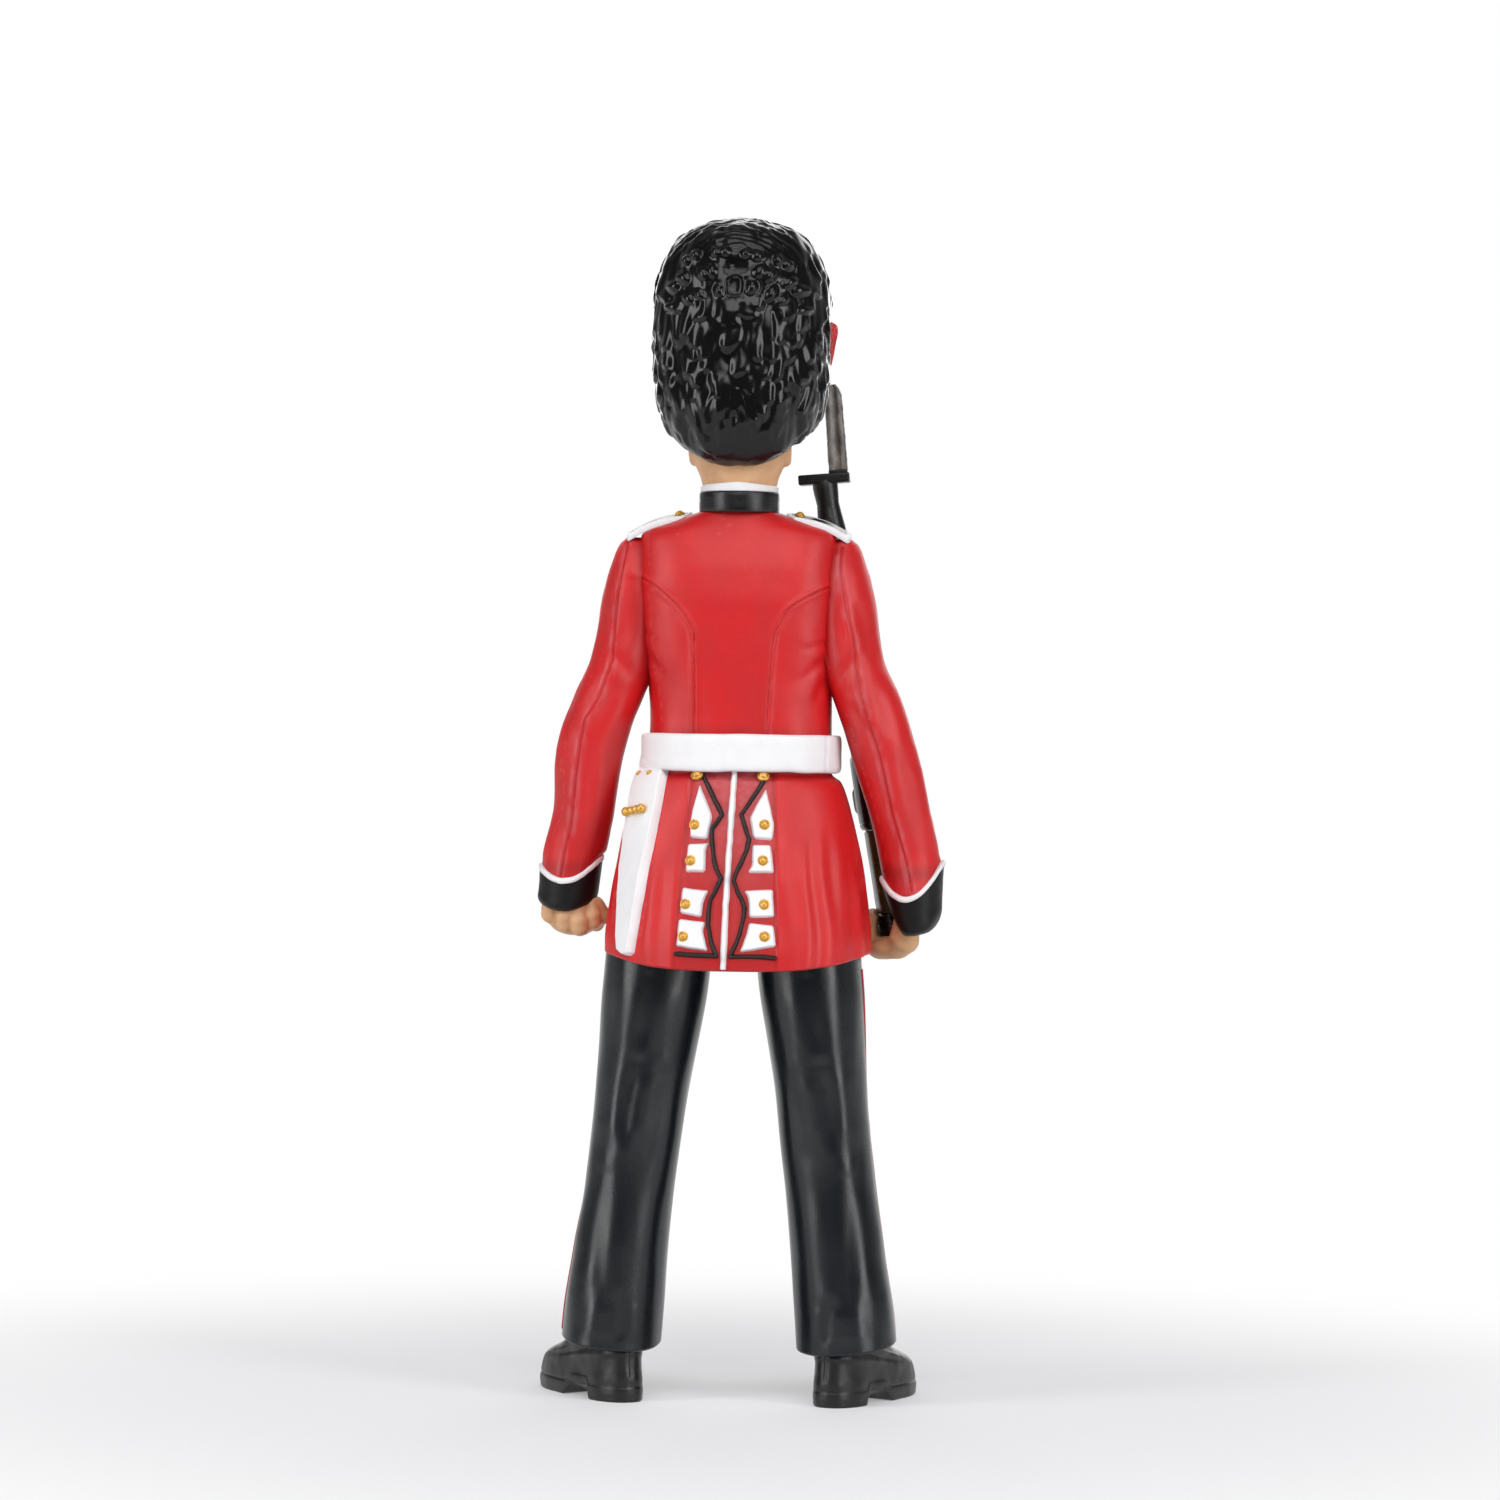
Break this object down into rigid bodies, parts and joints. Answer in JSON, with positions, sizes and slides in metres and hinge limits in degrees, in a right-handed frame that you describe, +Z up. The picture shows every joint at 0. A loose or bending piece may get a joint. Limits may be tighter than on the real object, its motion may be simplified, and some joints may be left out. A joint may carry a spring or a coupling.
{
  "type": "toy soldier figure",
  "caption": "Standing toy guardsman in a tall fur cap and red tailed coat, legs apart, holding a rifle upright at its right side.",
  "frame": {"origin": "on the ground plane, under the middle of the figure's bounding box", "axes": "+Z up through the fur cap, -Y the way the figure faces, +X the figure's left side"},
  "size_m": [0.0363, 0.022, 0.105],
  "materials": {
    "fur_black": "gloss black paint over moulded fur",
    "plume_red": "satin red paint",
    "flesh": "satin flesh paint",
    "gilt": "gold paint",
    "cloth_black": "gloss black paint",
    "paint_white": "satin white paint",
    "coat_red": "satin red paint",
    "trouser_dark": "satin blue-black paint",
    "boot_black": "satin black paint",
    "gun_black": "gloss black paint",
    "stock_olive": "satin olive paint"
  },
  "bodies": {
    "root": {"bearskin_cap": "fur_black", "plume": "plume_red", "head": "flesh", "chin_chain": "gilt", "collar_band": "cloth_black", "collar_piping": "paint_white", "tunic_body": "coat_red", "front_piping": "paint_white", "tunic_buttons": "gilt", "shoulder_strap_left": "cloth_black", "shoulder_strap_right": "cloth_black", "strap_piping_left": "paint_white", "strap_piping_right": "paint_white", "shoulder_buttons": "gilt", "sleeve_left": "coat_red", "sleeve_right": "coat_red", "cuff_left": "cloth_black", "cuff_right": "cloth_black", "cuff_piping_left": "paint_white", "cuff_piping_right": "paint_white", "hand_left": "flesh", "hand_right": "flesh", "belt": "paint_white", "belt_buckle": "gilt", "coat_skirt": "coat_red", "vent_piping": "paint_white", "skirt_braids": "cloth_black", "skirt_slashes": "paint_white", "skirt_buttons": "gilt", "scabbard": "paint_white", "scabbard_fittings": "gilt", "trouser_leg_left": "trouser_dark", "trouser_leg_right": "trouser_dark", "trouser_stripe_left": "coat_red", "trouser_stripe_right": "coat_red", "boot_left": "boot_black", "boot_right": "boot_black", "rifle_receiver": "gun_black", "rifle_barrel": "gun_black", "rifle_magazine": "gun_black", "rifle_grip": "gun_black", "rifle_stock": "stock_olive", "rifle_handguard": "stock_olive", "rifle_butt_plate": "gun_black", "bayonet": "gun_black"}
  },
  "joints": []
}
